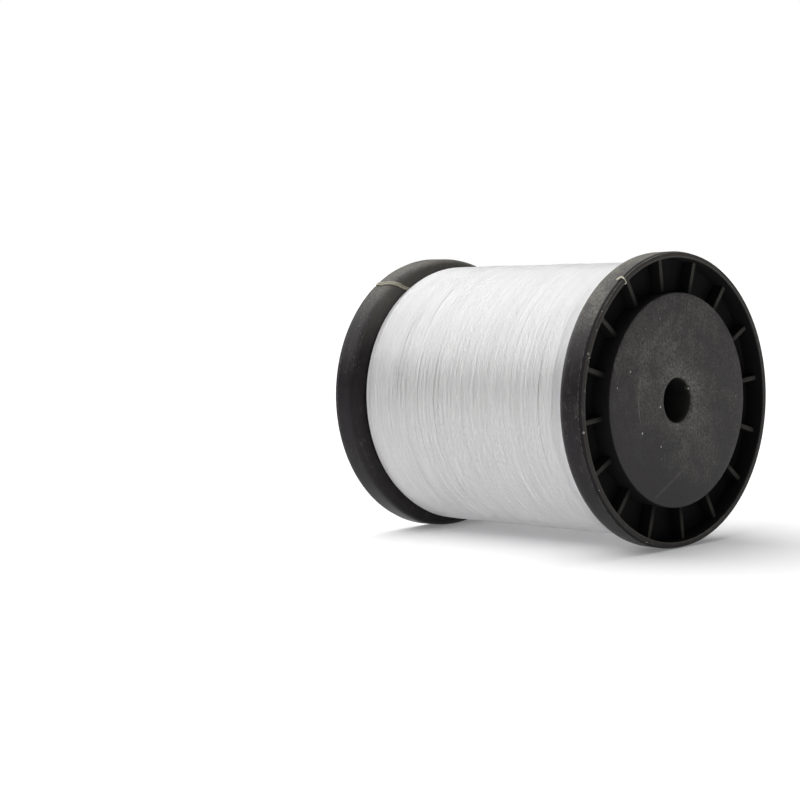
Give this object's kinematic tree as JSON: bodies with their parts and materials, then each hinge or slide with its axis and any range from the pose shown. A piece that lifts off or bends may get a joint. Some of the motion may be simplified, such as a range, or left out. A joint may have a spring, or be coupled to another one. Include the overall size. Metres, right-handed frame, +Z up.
{
  "type": "fishing line spool",
  "caption": "Bulk spool of clear fishing line: black moulded flanges with ribbed recesses, flat hub discs, a bored centre and a full winding between them.",
  "frame": {"origin": "on the floor, under the middle of the spool's axis", "axes": "+X along the spool's axis towards the front end, +Z up, +Y across the spool towards its far side"},
  "size_m": [0.17, 0.145, 0.145],
  "materials": {
    "flange_plastic": "black reground plastic, satin, faintly mottled and scuffed",
    "hub_plastic": "black reground plastic, dull and scuffed, worn round the bore",
    "barrel_plastic": "black moulded plastic",
    "tube_plastic": "black moulded plastic",
    "wound_line": "clear nylon line, wound, with a milky gloss",
    "line_end": "aged nylon line, pale cream"
  },
  "bodies": {
    "root": {"barrel": "barrel_plastic", "front_flange": "flange_plastic", "rear_flange": "flange_plastic", "front_hub_cap": "hub_plastic", "rear_hub_cap": "hub_plastic", "spindle_tube": "tube_plastic", "line_winding": "wound_line", "line_start": "line_end", "line_finish": "line_end"}
  },
  "joints": []
}
